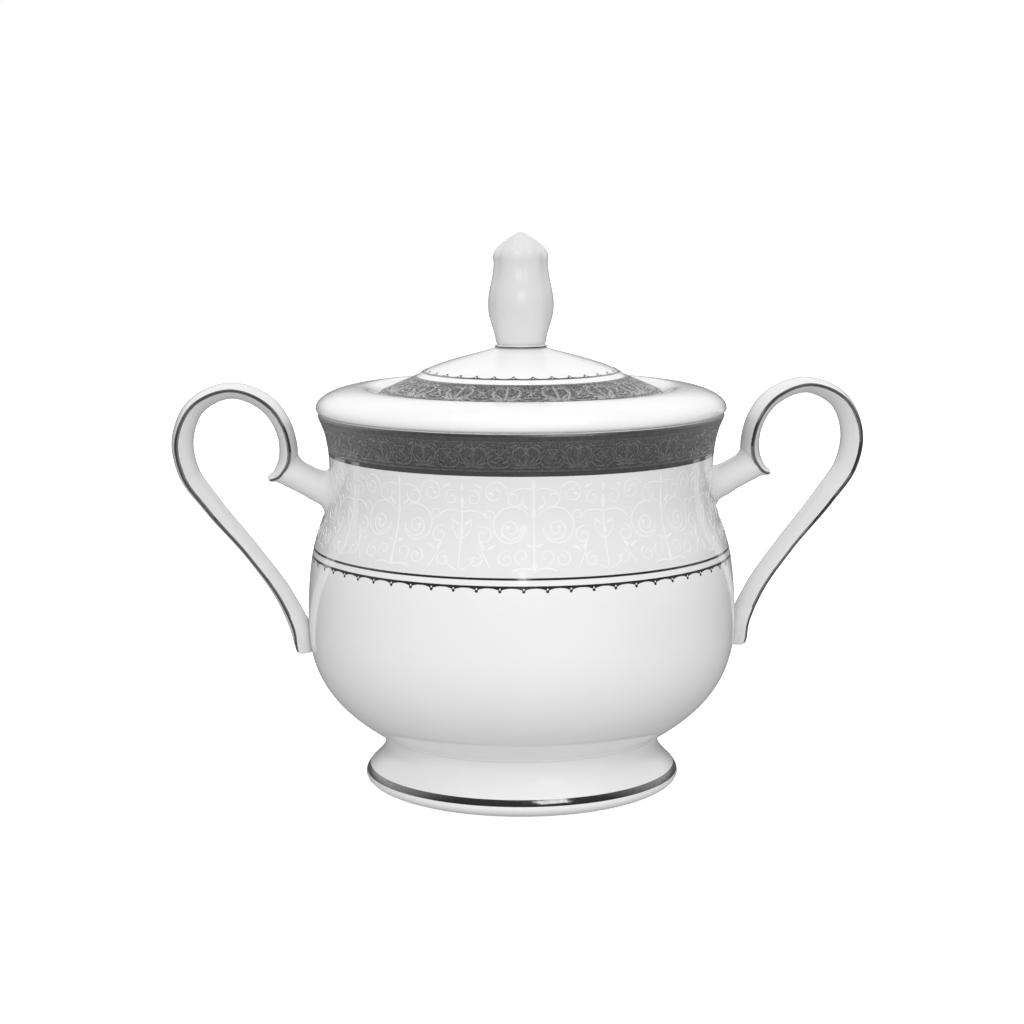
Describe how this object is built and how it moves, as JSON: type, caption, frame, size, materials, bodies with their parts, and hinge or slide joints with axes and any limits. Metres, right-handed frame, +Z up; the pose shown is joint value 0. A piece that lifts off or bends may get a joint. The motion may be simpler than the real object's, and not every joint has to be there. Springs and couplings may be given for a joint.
{
  "type": "covered sugar bowl",
  "caption": "Lidded porcelain sugar bowl on a flared foot, with two scroll handles, a lift-off domed lid with a bud knob, and platinum bands, lines and lace.",
  "frame": {"origin": "middle of the foot's resting face, on the table", "axes": "+Z up the bowl's axis, X through the two handles, Y across them"},
  "size_m": [0.1696, 0.105, 0.136],
  "materials": {
    "porcelain": "clear high gloss glaze over white bone china",
    "scroll_decor": "pale grey ground under the glaze, with raised white scrolls",
    "etched_platinum": "etched relief, satin to bright, fired platinum",
    "bright_platinum": "polished fired platinum"
  },
  "bodies": {
    "bowl": {"bowl_shell": "porcelain", "foot_ring": "porcelain", "handle_left": "porcelain", "handle_right": "porcelain", "rim_band": "etched_platinum", "rim_band_upper_border": "bright_platinum", "rim_band_lower_border": "bright_platinum", "scroll_band": "scroll_decor", "shoulder_line": "bright_platinum", "shoulder_lace": "bright_platinum", "foot_band": "bright_platinum", "handle_left_lines": "bright_platinum", "handle_right_lines": "bright_platinum"},
    "lid": {"lid_shell": "porcelain", "lid_knob": "porcelain", "lid_band": "etched_platinum", "lid_band_border": "bright_platinum", "lid_lace": "bright_platinum", "knob_collar": "bright_platinum"}
  },
  "joints": [
    {"name": "lid_lift", "type": "slide", "parent": "bowl", "child": "lid", "axis": [0, 0, 1], "range_m": [0, 0.08]}
  ]
}
